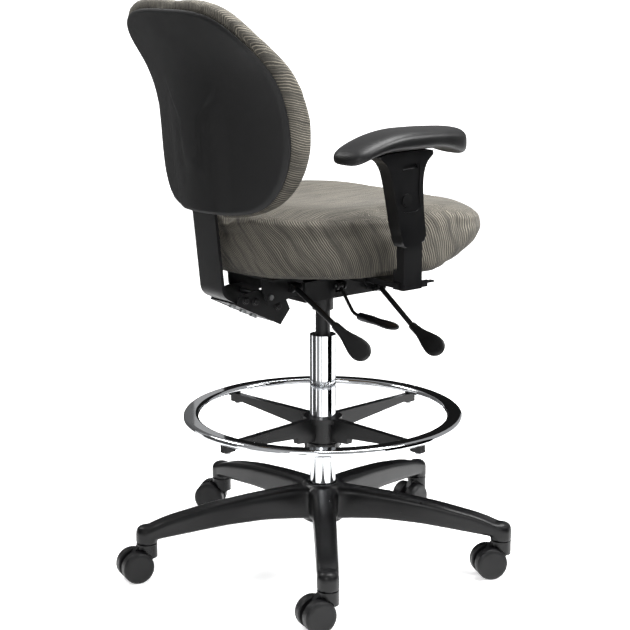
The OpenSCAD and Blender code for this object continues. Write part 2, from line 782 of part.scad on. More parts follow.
module arm_pad() {
    half = pad_l / 2;
    mid = arm_y + 10;
    steps = 12;
    corner = 32;
    function top_sag(t) = t > 0 ? 24 * t * t : 6 * t * t;
    upper = [for (k = [-steps:steps]) let (t = k / steps)
        [mid + t * half, pad_top_z - top_sag(t) - 8 * pow(t, 8)]];
    lower = [for (k = [-steps:steps]) let (t = -k / steps)
        [mid + t * half, pad_under_z + gap - pad_droop * (abs(t) < 0.35 ? 0 : pow((abs(t) - 0.35) / 0.65, 2))]];
    color(black_plastic) intersection() {
        side_plate(concat(upper, lower), pad_x - pad_w / 2, pad_x + pad_w / 2);
        union() {
            block([pad_x - pad_w / 2, mid - half + corner, 0], [pad_x + pad_w / 2, mid + half - corner, 2 * pad_top_z]);
            block([pad_x - pad_w / 2 + corner, mid - half, 0], [pad_x + pad_w / 2 - corner, mid + half, 2 * pad_top_z]);
            for (sx = [-1, 1]) for (sy = [-1, 1])
                translate([pad_x + sx * (pad_w / 2 - corner), mid + sy * (half - corner), 0])
                    cylinder(r = corner, h = 2 * pad_top_z);
        }
    }
}

module right() {
    mirror([1, 0, 0]) children();
}

// ---- Casters ----

module caster_hood(i) {
    top = leg_end_z - gap;
    low = wheel_r + 14;
    web = [[-hood_r + 2, wheel_r + 16], [-hood_r + 2, top - 1], [hood_r - 2, top - 1],
           [caster_trail + 8, wheel_r + 22], [caster_trail + 16, wheel_r + 10], [caster_trail + 14, wheel_r - 8],
           [caster_trail, wheel_r - 14], [caster_trail - 22, wheel_r - 2]];
    color(black_plastic) at_leg(i) difference() {
        union() {
            difference() {
                translate([0, 0, low]) cylinder(r = hood_r, h = top - low);
                translate([caster_trail, 0, wheel_r]) rotate([90, 0, 0])
                    cylinder(r = wheel_r + 2, h = 2 * caster_w, center = true);
            }
            rotate([90, 0, 0]) linear_extrude(caster_web, center = true) polygon(web);
        }
        cylinder(r = stem_r + 0.02, h = leg_end_z);
        translate([caster_trail, 0, wheel_r]) rotate([90, 0, 0])
            cylinder(r = axle_r + 0.02, h = caster_w, center = true);
    }
}

module caster_pins(i) {
    color(steel) at_leg(i) {
        translate([0, 0, leg_end_z - 20]) cylinder(r = stem_r, h = 19 + stem_hole_h);
        translate([caster_trail, 0, wheel_r]) rotate([90, 0, 0])
            cylinder(r = axle_r, h = caster_w - 2 * wheel_cap - 2, center = true);
    }
}

module caster_wheels(i) {
    inner = caster_web / 2 + wheel_gap;
    bore_r = axle_r + run;
    profile = [[bore_r, 0], [wheel_r - 2, 0], [wheel_r, 2], [wheel_r, wheel_w - 5], [wheel_r - 1, wheel_w - 2.5],
               [wheel_r - 3.5, wheel_w - 0.7], [wheel_r - 7, wheel_w], [0, wheel_w], [0, wheel_w - wheel_cap],
               [bore_r, wheel_w - wheel_cap]];
    color(black_plastic) at_leg(i) translate([caster_trail, 0, wheel_r]) for (s = [-1, 1])
        rotate([s * 90, 0, 0]) translate([0, 0, inner]) rotate_extrude() polygon(profile);
}

base_star();
outer_column();
column_bush();
thrust_bearing();
piston_rod();
retaining_clip();
gas_tube();
valve_pin();
foot_ring();
ring_spider();
ring_screws();
ring_lock_collar();
mech_base();
tilt_pivot_pin();
top_plate();
plate_flanges();
back_pivot_pin();
height_lever();
height_paddle();
lean_lever();
lean_paddle();
tilt_lever();
tilt_paddle();
back_bracket();
back_bar();
bar_bolts();
back_carriage();
back_board();
back_shell();
back_cushion();
seat_slides();
seat_board();
seat_cushion();
arm_guides();
seat_screws();
right() arm_bracket();  // right_arm_bracket
right() arm_catch();  // right_arm_catch
right() arm_sleeve();  // right_arm_sleeve
right() arm_button();  // right_arm_button
right() arm_pad();  // right_arm_pad
arm_bracket();  // left_arm_bracket
arm_catch();  // left_arm_catch
arm_sleeve();  // left_arm_sleeve
arm_button();  // left_arm_button
arm_pad();  // left_arm_pad
caster_hood(0);  // caster_1_hood
caster_pins(0);  // caster_1_pins
caster_wheels(0);  // caster_1_wheels
caster_hood(1);  // caster_2_hood
caster_pins(1);  // caster_2_pins
caster_wheels(1);  // caster_2_wheels
caster_hood(2);  // caster_3_hood
caster_pins(2);  // caster_3_pins
caster_wheels(2);  // caster_3_wheels
caster_hood(3);  // caster_4_hood
caster_pins(3);  // caster_4_pins
caster_wheels(3);  // caster_4_wheels
caster_hood(4);  // caster_5_hood
caster_pins(4);  // caster_5_pins
caster_wheels(4);  // caster_5_wheels
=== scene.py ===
"""A drafting chair: the finishes, the upholstery and the smooth moulded pieces around its CAD frame."""

import math

import bmesh
import bpy
import numpy as np
from mathutils import Matrix, Vector


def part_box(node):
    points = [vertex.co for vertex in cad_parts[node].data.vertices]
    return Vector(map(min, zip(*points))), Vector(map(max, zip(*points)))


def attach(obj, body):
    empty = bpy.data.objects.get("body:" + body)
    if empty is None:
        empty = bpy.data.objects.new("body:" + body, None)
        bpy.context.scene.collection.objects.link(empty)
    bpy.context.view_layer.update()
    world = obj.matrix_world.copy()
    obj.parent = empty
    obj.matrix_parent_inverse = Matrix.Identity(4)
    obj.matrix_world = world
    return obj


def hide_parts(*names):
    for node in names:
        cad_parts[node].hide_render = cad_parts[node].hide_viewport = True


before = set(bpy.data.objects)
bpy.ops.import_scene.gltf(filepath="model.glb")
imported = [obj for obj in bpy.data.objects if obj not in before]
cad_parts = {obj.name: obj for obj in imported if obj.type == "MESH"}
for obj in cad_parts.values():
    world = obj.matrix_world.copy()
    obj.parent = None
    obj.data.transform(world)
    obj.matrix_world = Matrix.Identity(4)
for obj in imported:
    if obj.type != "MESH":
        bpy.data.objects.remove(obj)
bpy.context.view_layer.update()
scene = bpy.context.scene
MM = 0.001


# ---- Small helpers ----


def linear(hex_colour):
    """An sRGB hex colour as the linear RGBA that the shaders take."""
    channels = [int(hex_colour[k : k + 2], 16) / 255 for k in (1, 3, 5)]
    return [c / 12.92 if c <= 0.04045 else ((c + 0.055) / 1.055) ** 2.4 for c in channels] + [1.0]


def per(mm):
    """The texture scale that repeats once in that many millimetres."""
    return 1 / (mm * MM)


def smooth_step(low, high, value):
    """0 up to low, 1 from high, and an S-curve between them."""
    t = min(max((value - low) / (high - low), 0.0), 1.0)
    return t * t * (3 - 2 * t)


def eased(points, value, spread=9):
    """A table of pairs read at a value, with its corners rounded off over four spreads."""
    where = [value + k * spread for k in (-2, -1, 0, 1, 2)]
    return float(np.mean(np.interp(where, [p[0] for p in points], [p[1] for p in points])))


def box_mm(node):
    """The lowest and highest corner of a CAD node, in millimetres."""
    return (np.array(corner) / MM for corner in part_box(node))


def add(tree, kind, sockets=None, **settings):
    """One node, with its settings, its input values and its incoming links."""
    made = tree.nodes.new("ShaderNode" + kind)
    for name, value in settings.items():
        setattr(made, name, value)
    for socket, value in (sockets or {}).items():
        if isinstance(value, bpy.types.NodeSocket):
            tree.links.new(value, made.inputs[socket])
        else:
            made.inputs[socket].default_value = value
    return made


def new_finish(name, colour, roughness, metallic=0.0, **shader):
    """A material with a Principled shader whose constants sit on its own sockets."""
    finish = bpy.data.materials.new(name)
    finish.use_nodes = True
    tree = finish.node_tree
    surface = tree.nodes["Principled BSDF"]
    surface.inputs["Base Color"].default_value = linear(colour)
    surface.inputs["Roughness"].default_value = roughness
    surface.inputs["Metallic"].default_value = metallic
    for socket, value in shader.items():
        surface.inputs[socket.replace("_", " ")].default_value = value
    return finish, tree, surface


MIX_A, MIX_B, MIX_OUT = 6, 7, 2  # the colour sockets of a Mix node


def mixed(tree, amount, first, second):
    """The colour between two colours, each a hex string or a socket."""
    ends = [linear(c) if isinstance(c, str) else c for c in (first, second)]
    return add(tree, "Mix", {0: amount, MIX_A: ends[0], MIX_B: ends[1]}, data_type="RGBA").outputs[MIX_OUT]


def raised(tree, surface, height, strength, distance_mm, under=None):
    """Relief on a surface, over another relief if there is one. Returns its normal."""
    sockets = {"Height": height, "Strength": strength, "Distance": distance_mm * MM}
    if under is not None:
        sockets["Normal"] = under
    normal = add(tree, "Bump", sockets).outputs["Normal"]
    tree.links.new(normal, surface.inputs["Normal"])
    return normal


def mottled(tree, surface, grain_mm, dark, light, bump_mm, rough_low, rough_high, cloud_mm=60):
    """Colour and gloss that drift over the surface, with a fine moulded or sprayed grain on top."""
    place = add(tree, "TexCoord").outputs["Object"]
    cloud = add(tree, "TexNoise", {"Vector": place, "Scale": per(cloud_mm), "Detail": 3.0})
    tree.links.new(mixed(tree, cloud.outputs["Fac"], dark, light), surface.inputs["Base Color"])
    gloss = add(tree, "MapRange", {"Value": cloud.outputs["Fac"], "From Min": 0.3, "From Max": 0.7,
                                   "To Min": rough_low, "To Max": rough_high})
    tree.links.new(gloss.outputs[0], surface.inputs["Roughness"])
    grain = add(tree, "TexNoise", {"Vector": place, "Scale": per(grain_mm), "Detail": 2.0})
    return place, raised(tree, surface, grain.outputs["Fac"], 0.6, bump_mm)


# ---- Finishes ----


def chrome_plate():
    """Bright chrome over polished tube: a hard mirror with the faintest buffing haze."""
    finish, tree, surface = new_finish("chrome_plate", "#d6d8db", 0.05, 1.0)
    place = add(tree, "TexCoord").outputs["Object"]
    haze = add(tree, "TexNoise", {"Vector": place, "Scale": per(35), "Detail": 4.0})
    gloss = add(tree, "MapRange", {"Value": haze.outputs["Fac"], "To Min": 0.035, "To Max": 0.10})
    tree.links.new(gloss.outputs[0], surface.inputs["Roughness"])
    # Buffing lines are drawn 2 mm apart, as coarse as they need to show
    lines = add(tree, "TexNoise", {"Vector": place, "Scale": per(2.0), "Detail": 1.0})
    raised(tree, surface, lines.outputs["Fac"], 0.05, 0.02)
    return finish


def moulded_nylon():
    """Glass-filled nylon with a spark-eroded grain: deep black with broad soft highlights."""
    finish, tree, surface = new_finish("moulded_nylon", "#0b0b0c", 0.42, Specular_IOR_Level=0.30)
    mottled(tree, surface, 1.4, "#08080a", "#0e0e0f", 0.08, 0.27, 0.38)
    return finish


def pebbled_polypropylene():
    """Moulded polypropylene with a pebble grain: a matt, slightly grey black back shell."""
    finish, tree, surface = new_finish("pebbled_polypropylene", "#0f0f10", 0.55, Specular_IOR_Level=0.28)
    place, grain = mottled(tree, surface, 2.2, "#09090a", "#0e0e0f", 0.16, 0.50, 0.62, 90)
    pebble = add(tree, "TexVoronoi", {"Vector": place, "Scale": per(2.6)})
    raised(tree, surface, pebble.outputs["Distance"], 0.25, 0.15, grain)
    return finish


def polyurethane_skin():
    """Self-skinned polyurethane foam: a soft grey-black with a fine leathery grain."""
    finish, tree, surface = new_finish("polyurethane_skin", "#101011", 0.46, Specular_IOR_Level=0.32)
    place, grain = mottled(tree, surface, 1.8, "#0a0a0b", "#101011", 0.10, 0.36, 0.46, 40)
    creases = add(tree, "TexVoronoi", {"Vector": place, "Scale": per(2.4)}, feature="DISTANCE_TO_EDGE")
    raised(tree, surface, creases.outputs["Distance"], 0.3, 0.12, grain)
    return finish


def powder_coat():
    """Black powder coat on pressed steel: satin, with a faint orange peel."""
    finish, tree, surface = new_finish("powder_coat", "#0a0a0b", 0.40, Specular_IOR_Level=0.30)
    mottled(tree, surface, 2.5, "#08080a", "#0d0d0e", 0.08, 0.34, 0.46)
    return finish


def grip_plastic():
    """Smooth injection-moulded grip: a semi-gloss black that catches a small highlight."""
    finish, tree, surface = new_finish("grip_plastic", "#0b0b0c", 0.34, Specular_IOR_Level=0.36)
    mottled(tree, surface, 1.2, "#09090a", "#0f0f10", 0.05, 0.28, 0.40, 30)
    return finish


def caster_nylon():
    """Hard nylon wheel: plain black discs, scuffed a little duller where they roll."""
    finish, tree, surface = new_finish("caster_nylon", "#0b0b0c", 0.40, Specular_IOR_Level=0.30)
    mottled(tree, surface, 0.9, "#08080a", "#111112", 0.06, 0.34, 0.55, 14)
    return finish


def zinc_plate():
    """Zinc-plated steel: a cool grey metal with a slightly uneven passivated bloom."""
    finish, tree, surface = new_finish("zinc_plate", "#9a9c9e", 0.32, 1.0)
    mottled(tree, surface, 1.5, "#8b8e90", "#a9aaab", 0.03, 0.25, 0.42, 12)
    return finish


def birch_ply():
    """Birch plywood: pale layers with a straight grain, seen only from below."""
    finish, tree, surface = new_finish("birch_ply", "#b08d60", 0.65)
    place = add(tree, "TexCoord").outputs["Object"]
    # Grain about 4 mm apart, stretched along the chair's length
    stretch = add(tree, "Mapping", {"Vector": place, "Scale": (1.0, 0.12, 1.0)})
    grain = add(tree, "TexNoise", {"Vector": stretch.outputs[0], "Scale": per(4), "Detail": 4.0})
    tree.links.new(mixed(tree, grain.outputs["Fac"], "#8f6c44", "#c9a877"), surface.inputs["Base Color"])
    raised(tree, surface, grain.outputs["Fac"], 0.3, 0.1)
    return finish


def woven_cloth(name, around, centre, radius, lean):
    """Woven polyester in a dark warm grey: fine light threads about 4 mm apart that waver over the crown and
    run down the sides, with a few dark ones between. around is the axis that the sides turn round: 2 for a
    seat, 1 for a back. lean is how far the side threads slope over, at the rear and all round."""
    finish, tree, surface = new_finish(name, "#5b564e", 0.92, Sheen_Weight=0.08, Sheen_Roughness=0.5,
                                       Specular_IOR_Level=0.2)

    def calc(operation, *values):
        return add(tree, "Math", dict(enumerate(values)), operation=operation).outputs[0]

    coords = add(tree, "TexCoord")
    place = coords.outputs["Object"]
    moved = add(tree, "VectorMath", {0: place, 1: centre}, operation="SUBTRACT")
    axes = add(tree, "SeparateXYZ", {0: moved.outputs[0]}).outputs
    facing = add(tree, "SeparateXYZ", {0: coords.outputs["Normal"]}).outputs
    turn = calc("ARCTAN2", axes[0], axes[1 if around == 2 else 2])
    slope = calc("MULTIPLY_ADD", calc("COSINE", turn), lean[0], lean[1])
    girth = calc("MULTIPLY_ADD", turn, radius, calc("MULTIPLY", axes[around], calc("MULTIPLY", slope, -1.0)))
    flat = calc("ABSOLUTE", facing[around])
    crown = add(tree, "MapRange", {"Value": flat, "From Min": 0.72, "From Max": 0.90}).outputs[0]
    across = add(tree, "Mix", {0: crown, 2: girth, 3: axes[0]}).outputs[0]
    # The threads wander by about 4 mm over 55 mm, and by half a millimetre over 9 mm
    wander = add(tree, "TexNoise", {"Vector": place, "Scale": per(55), "Detail": 0.0}).outputs["Fac"]
    waver = add(tree, "TexNoise", {"Vector": place, "Scale": per(9), "Detail": 0.0}).outputs["Fac"]
    shifted = calc("MULTIPLY_ADD", waver, 1.4 * MM, calc("MULTIPLY_ADD", wander, 13 * MM, across))

    def thread(spacing_mm, low, high, length_mm, cut_low, cut_high):
        """Lines that far apart, broken up along their length."""
        phase = calc("PINGPONG", calc("MULTIPLY", shifted, per(spacing_mm)), 1.0)
        line = add(tree, "MapRange", {"Value": phase, "From Min": low, "From Max": high}).outputs[0]
        row = calc("ROUND", calc("MULTIPLY", shifted, per(2 * spacing_mm)))
        run_1 = calc("MULTIPLY", axes[2], per(length_mm))
        run_2 = calc("MULTIPLY", axes[1], per(length_mm))
        where = add(tree, "CombineXYZ", {0: calc("MULTIPLY", row, 0.73), 1: run_1, 2: run_2}).outputs[0]
        broken = add(tree, "TexNoise", {"Vector": where, "Scale": 1.0, "Detail": 1.0}).outputs["Fac"]
        seen = add(tree, "MapRange", {"Value": broken, "From Min": cut_low, "From Max": cut_high}).outputs[0]
        return calc("MULTIPLY", line, seen)

    light = thread(2.0, 0.60, 0.92, 80, 0.36, 0.54)
    dark = thread(3.1, 0.66, 0.95, 70, 0.47, 0.58)
    # Warp and weft about 1 mm apart
    weave = add(tree, "TexNoise", {"Vector": place, "Scale": per(1.1), "Detail": 2.0}).outputs["Fac"]
    body = mixed(tree, weave, "#3d3b37", "#69665f")
    shaded = mixed(tree, calc("MULTIPLY", dark, 0.65), body, "#22201d")
    strength = add(tree, "MapRange", {"Value": crown, "To Min": 0.78, "To Max": 0.50}).outputs[0]
    lit = mixed(tree, calc("MULTIPLY", light, strength), shaded, "#b4ac9c")
    tree.links.new(lit, surface.inputs["Base Color"])
    height = calc("MULTIPLY_ADD", light, 0.8, calc("MULTIPLY_ADD", dark, -0.8, weave))
    raised(tree, surface, height, 0.6, 0.35)
    return finish


CHROME = chrome_plate()
NYLON = moulded_nylon()
SHELL = pebbled_polypropylene()
SKIN = polyurethane_skin()
COAT = powder_coat()
GRIP = grip_plastic()
WHEEL = caster_nylon()
ZINC = zinc_plate()
PLY = birch_ply()


# ---- Making meshes ----


def make_piece(name, points_mm, faces, finish, body, slot, replaced=()):
    """A smooth mesh piece from points in millimetres, riding on a body in place of CAD nodes."""
    mesh = bpy.data.meshes.new(name)
    mesh.from_pydata([[c * MM for c in p] for p in points_mm], [], faces)
    return settle(name, mesh, finish, body, replaced)


def settle(name, mesh, finish, body, replaced=()):
    """Puts a finished mesh into the scene: smooth, facing outwards, with its finish and body."""
    outward(mesh)
    mesh.materials.clear()
    mesh.materials.append(finish)
    mesh.shade_smooth()
    piece = bpy.data.objects.new(name, mesh)
    scene.collection.objects.link(piece)
    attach(piece, body)
    if replaced:
        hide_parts(*replaced)
    return piece


def applied(piece):
    """The mesh of a piece with its modifiers applied."""
    graph = bpy.context.evaluated_depsgraph_get()
    return bpy.data.meshes.new_from_object(piece.evaluated_get(graph))


def skinned(rings, closed_ends=True):
    """Points and faces of a skin through rings of equal length, each end closed to its ring's middle."""
    points = [p for ring in rings for p in ring]
    n = len(rings[0])
    faces = []
    for k in range(len(rings) - 1):
        for i in range(n):
            j = (i + 1) % n
            faces.append([k * n + i, k * n + j, (k + 1) * n + j, (k + 1) * n + i])
    if closed_ends:
        for start, ring in ((0, rings[0]), ((len(rings) - 1) * n, rings[-1])):
            points.append([float(np.mean([p[axis] for p in ring])) for axis in range(3)])
            faces += [[start + i, start + (i + 1) % n, len(points) - 1] for i in range(n)]
    return points, faces


def oval(half_w, half_h, exponent, n):
    """The points of a superellipse: exponent 2 is an ellipse, more is squarer."""
    out = []
    for i in range(n):
        c, s = math.cos(2 * math.pi * i / n), math.sin(2 * math.pi * i / n)
        out.append((half_w * math.copysign(abs(c) ** (2 / exponent), c),
                    half_h * math.copysign(abs(s) ** (2 / exponent), s)))
    return out


def catmull(points, steps):
    """A smooth closed curve through 2-D points."""
    out = []
    n = len(points)
    for i in range(n):
        a, b, c, d = (np.array(points[(i + k) % n], float) for k in (-1, 0, 1, 2))
        for k in range(steps):
            t = k / steps
            out.append(tuple(0.5 * (2 * b + (c - a) * t + (2 * a - 5 * b + 4 * c - d) * t * t
                                    + (3 * b - a - 3 * c + d) * t ** 3)))
    return out


def outward(mesh):
    """Welds a mesh and turns its faces outwards."""
    work = bmesh.new()
    work.from_mesh(mesh)
    bmesh.ops.remove_doubles(work, verts=work.verts, dist=1e-6)
    bmesh.ops.recalc_face_normals(work, faces=work.faces)
    work.to_mesh(mesh)
    work.free()


def ring_round(radius, z, n):
    """A level ring of n points, in millimetres."""
    angles = np.linspace(0, 2 * math.pi, n, endpoint=False)
    return [[radius * math.cos(a), radius * math.sin(a), z] for a in angles]


def rounded_plate(outline, x0, x1, edge_mm, segments=4):
    """A mesh of an outline in Y and Z, from x0 to x1, with rounded edges. All in millimetres."""
    work = bmesh.new()
    low = [work.verts.new((x0 * MM, y * MM, z * MM)) for y, z in outline]
    high = [work.verts.new((x1 * MM, y * MM, z * MM)) for y, z in outline]
    caps = [work.faces.new(low), work.faces.new(high)]
    n = len(outline)
    for i in range(n):
        work.faces.new((low[i], low[(i + 1) % n], high[(i + 1) % n], high[i]))
    rims = [e for cap in caps for e in cap.edges]
    bmesh.ops.bevel(work, geom=rims, offset=edge_mm * MM, segments=segments, profile=0.5, affect="EDGES")
    mesh = bpy.data.meshes.new("plate")
    work.to_mesh(mesh)
    work.free()
    return mesh


def remeshed(mesh, voxel_mm, smoothing):
    """One closed skin round everything in a mesh, with every inner corner filleted."""
    blank = bpy.data.objects.new("blank", mesh)
    scene.collection.objects.link(blank)
    remesh = blank.modifiers.new("skin", "REMESH")
    remesh.mode = "VOXEL"
    remesh.voxel_size = voxel_mm * MM
    relax = blank.modifiers.new("relax", "SMOOTH")
    relax.factor = 0.5
    relax.iterations = smoothing
    result = applied(blank)
    bpy.data.objects.remove(blank)
    return result


# ---- Upholstery ----

CLOTH_FRAMES = 20
PRESSURE = 4.0
CLOTH_VOXEL = 5.0
TOP_SWEEP = 11.0  # how far the top of the back leans out further, from SWEEP_FROM up
SWEEP_FROM, SWEEP_TO = 950, 1075


def swept(z):
    """How much further back the back leans at a height."""
    return TOP_SWEEP * smooth_step(SWEEP_FROM, SWEEP_TO, z)


def saddle(points, low, high):
    """The seat's crown: a firm shoulder all round, and a shallow dish inside it."""
    middle = (low + high) / 2
    out = points.copy()
    for k, point in enumerate(points):
        shoulder = smooth_step(high[2] - 48, high[2] - 14, point[2])
        across, along = (point[:2] - middle[:2]) / (high[:2] - low[:2]) * 2
        rim = (abs(across) ** 2.6 + abs(along) ** 2.6) ** (1 / 2.6)
        front = smooth_step(50, 235, -point[1])
        out[k][:2] = middle[:2] + (point[:2] - middle[:2]) * (1 + 0.065 * shoulder * (1 - 0.8 * front))
        dish = 15.0 * (1 - smooth_step(0.15, 0.82, rim))
        out[k][2] += shoulder * (3.0 * smooth_step(0.45, 0.80, rim) - dish)
        # The front falls away like a waterfall, and its underside is cut up towards the nose
        out[k][2] += 14.0 * smooth_step(222, 262, -point[1]) * (1 - smooth_step(low[2], middle[2], point[2]))
        out[k][2] -= 15.0 * front * shoulder
    return out


def short_below(points, low, high):
    """The back cushion's lower edge is flatter than its top, and its crown stands up over the shell."""
    middle = (low[2] + high[2]) / 2
    out = points.copy()
    for k, point in enumerate(points):
        reach = (point[2] - middle) / (high[2] - middle)
        out[k][2] = middle + (point[2] - middle) * (1.0 if reach > 0 else 0.975)
        out[k][2] += 5.0 * smooth_step(0.75, 1.0, reach)
        out[k][1] += swept(point[2])
    return out


def inflated(name, mesh, cap_mm):
    """Blows a closed mesh up under cloth, with no point moving further than the cap."""
    blank = bpy.data.objects.new(name + "_cloth", mesh)
    scene.collection.objects.link(blank)
    cloth = blank.modifiers.new("cloth", "CLOTH")
    cloth.settings.use_pressure = True
    cloth.settings.uniform_pressure_force = PRESSURE
    cloth.settings.effector_weights.gravity = 0
    cloth.settings.tension_stiffness = 20
    cloth.settings.compression_stiffness = 20
    cloth.settings.bending_stiffness = 2
    cloth.settings.quality = 4
    cloth.point_cache.frame_start = 1
    cloth.point_cache.frame_end = CLOTH_FRAMES
    for step in range(1, CLOTH_FRAMES + 1):
        scene.frame_set(step)
    blown = applied(blank)
    before = np.empty(len(mesh.vertices) * 3)
    after = np.empty(len(mesh.vertices) * 3)
    mesh.vertices.foreach_get("co", before)
    blown.vertices.foreach_get("co", after)
    move = (after - before).reshape(-1, 3)
    size = np.linalg.norm(move, axis=1, keepdims=True)
    limit = cap_mm * MM
    # A soft cap: small moves stay as they are and large ones level off at the limit
    move *= limit * np.tanh(size / limit) / np.maximum(size, 1e-9)
    mesh.vertices.foreach_set("co", (before + move.reshape(-1)))
    bpy.data.objects.remove(blank)
    scene.frame_set(1)


def stuffed(name, node, finish, body, shape, cap_mm):
    """A cushion: the CAD cushion's form with its crown shaped, blown up under cloth and capped."""
    low, high = box_mm(node)
    mesh = remeshed(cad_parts[node].data.copy(), CLOTH_VOXEL, 6)
    points = np.empty(len(mesh.vertices) * 3)
    mesh.vertices.foreach_get("co", points)
    mesh.vertices.foreach_set("co", shape(points.reshape(-1, 3) / MM, low, high).reshape(-1) * MM)
    inflated(name, mesh, cap_mm)
    piece = settle(name, mesh, finish, body, [node])
    fine = piece.modifiers.new("fine", "SUBSURF")
    fine.levels = fine.render_levels = 1


SEAT_CLOTH = woven_cloth("woven_cloth_seat", 2, (0.0, 0.0, 0.65), 0.22, (0.55, 0.30))
BACK_CLOTH = woven_cloth("woven_cloth_back", 1, (0.0, 0.28, 0.88), 0.19, (0.0, 0.25))
stuffed("seat_upholstery", "seat_cushion", SEAT_CLOTH, "seat", saddle, 7)
stuffed("back_upholstery", "back_cushion", BACK_CLOTH, "backrest", short_below, 5)


def seat_board():
    """The plywood board let into the seat's underside, drawn in so that the cloth wraps round its edge."""
    low, high = box_mm("seat_board")
    front, rear = low[1] + 50, high[1] - 24
    half_w = high[0] - 36
    edge = [(0, 4), (1.5, 1.2), (4, 0), (8.5, 0), (11, 1.2), (12, 4)]
    rings = []
    for rise, inset in edge:
        rings.append([[x, (front + rear) / 2 + y, low[2] + rise]
                      for x, y in oval(half_w - inset, (rear - front) / 2 - inset, 2.5, 96)])
    make_piece("plywood_board", *skinned(rings), PLY, "seat", "wood", ["seat_board"])


seat_board()


# ---- Back shell ----

# Against height: how far back the middle is, how far forward the sides wrap, and the width of the outline
SHELL_MIDDLE = [(690, 277), (800, 289), (900, 300), (950, 309), (1000, 322), (1030, 332), (1080, 350)]
SHELL_WRAP = [(690, 57), (760, 53), (880, 58), (930, 51), (970, 38), (1010, 19), (1040, 9), (1090, 2)]
SHELL_WIDTH = [(690, 0.88), (730, 0.91), (780, 0.965), (830, 1), (930, 0.985), (1080, 0.965)]
SHELL_CORNER = 3.5
SHELL_LOW_CORNER = 4.3
SHELL_LOW_REACH = 0.955
WRAP_AT = 180  # the distance from the middle that SHELL_WRAP is given for
SHELL_ROWS = 44
SHELL_AROUND = 176
CARRIAGE_HALF_W = 43
CARRIAGE_H = 8.0
RIDGE_H = 2.4


def shell_boss(x, z):
    """The swell over the bar's carriage, and a soft ridge on it that opens out above like a funnel."""
    swell = CARRIAGE_H * (1 - smooth_step(CARRIAGE_HALF_W, 90, abs(x))) * (1 - smooth_step(862, 950, z))
    half = 12 + 14 * smooth_step(720, 850, z) + 44 * smooth_step(862, 940, z)
    ridge = RIDGE_H * (1 - smooth_step(half - 4, half + 5, abs(x))) * (1 - smooth_step(905, 950, z))
    return swell + ridge


def back_shell():
    """The moulded shell: hollow from side to side low down, and curling back at the top."""
    low, high = box_mm("back_shell")
    half_w = max(high[0], -low[0])
    mid_z, half_h = (low[2] + high[2]) / 2, (high[2] - low[2]) / 2

    def ring(s, depth):
        """The shell's outline at the fraction s of its size, that deep in front of its rear face."""
        out = []
        for i in range(SHELL_AROUND):
            a = 2 * math.pi * i / SHELL_AROUND
            corner = SHELL_CORNER if math.sin(a) > 0 else SHELL_LOW_CORNER
            u = math.copysign(abs(math.cos(a)) ** (2 / corner), math.cos(a))
            v = math.copysign(abs(math.sin(a)) ** (2 / corner), math.sin(a))
            z = mid_z + half_h * v * s * (1 if v > 0 else SHELL_LOW_REACH)
            x = s * u * half_w * eased(SHELL_WIDTH, mid_z + half_h * v)
            hollow = eased(SHELL_WRAP, z) * (x / WRAP_AT) ** 2
            y = eased(SHELL_MIDDLE, z) - hollow + swept(z) + shell_boss(x, z)
            out.append([x, y - depth, z])
        return out

    # The rim is bevelled, then rolls over to the front
    rim = [(0.962, 0.0), (0.970, 0.3), (0.978, 1.0), (0.990, 2.7), (0.997, 3.9), (1.0, 5.2), (0.998, 6.4),
           (0.985, 7.0)]
    rows = [(0.02 + 0.93 * k / SHELL_ROWS, 0.0) for k in range(SHELL_ROWS + 1)]
    inside = [(0.96, 4.2)] + [(0.94 - 0.92 * k / 12, 3.8) for k in range(13)]
    points, faces = skinned([ring(s, d) for s, d in rows + rim + inside])
    make_piece("moulded_back_shell", points, faces, SHELL, "backrest", "black_plastic", ["back_shell"])


back_shell()


# ---- Arms ----

PAD_STEPS = 44
PAD_DEPTH = 37.5
PAD_DROP = 24
BUTTON_BACK = 20
SLEEVE_HALF = 25


def arm_pad(side):
    """The pad: domed on top, level in the middle underneath, with thick rolled ends that hang down."""
    node = f"{side}_arm_pad"
    low, high = box_mm(node)
    middle_x, half_w = (low[0] + high[0]) / 2, (high[0] - low[0]) / 2
    middle_y, half_l = (low[1] + high[1]) / 2, (high[1] - low[1]) / 2
    top = high[2]
    rings = []
    for k in range(-PAD_STEPS, PAD_STEPS + 1):
        t = math.sin(math.pi / 2 * k / PAD_STEPS)
        end = max(1 - abs(t) ** 16, 1e-6)
        top_z = top - (35 if t > 0 else 6) * t * t
        under = top - PAD_DEPTH - PAD_DROP * max((abs(t) - 0.30) / 0.70, 0) ** 2
        width = half_w * (1 - 0.12 * t * t) * end ** 0.5
        height = (top_z - under) / 2 * end ** 0.5
        centre_z = (top_z + under) / 2
        ring = []
        for x, z in oval(width, height, 3.4, 40):
            fall = 4.0 * (x / half_w) ** 2 if z > 0 else 0.0
            ring.append([middle_x + x, middle_y + t * half_l, centre_z + z - fall])
        rings.append(ring)
    points, faces = skinned(rings)
    pad = make_piece(f"{side}_pad", points, faces, SKIN, f"{side}_arm_height", "foam_pad", [node])
    fine = pad.modifiers.new("fine", "SUBSURF")
    fine.levels = fine.render_levels = 1


